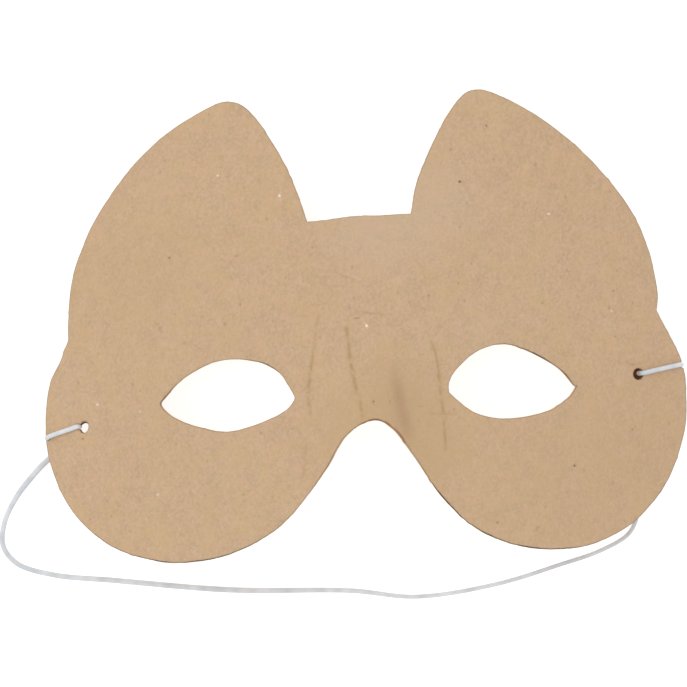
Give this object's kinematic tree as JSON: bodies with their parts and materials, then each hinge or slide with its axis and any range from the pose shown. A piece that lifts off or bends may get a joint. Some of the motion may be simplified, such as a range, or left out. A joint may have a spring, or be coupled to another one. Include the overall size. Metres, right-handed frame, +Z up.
{
  "type": "paper cat half mask",
  "caption": "Kraft board cat half mask with upright ears, almond eye holes and a nose ridge, worn on an elastic thread knotted behind both cheeks.",
  "frame": {"origin": "on the surface the mask lies on, under the middle of the board's outline", "axes": "+X to the right of the mask as seen from its front, +Y from the chin towards the ears, +Z up, out of the mask's front"},
  "size_m": [0.2112, 0.1563, 0.0284],
  "materials": {
    "kraft_board": "matte",
    "elastic": "matte"
  },
  "bodies": {
    "root": {"mask_board": "kraft_board", "elastic_thread": "elastic", "left_knot": "elastic", "right_knot": "elastic"}
  },
  "joints": []
}
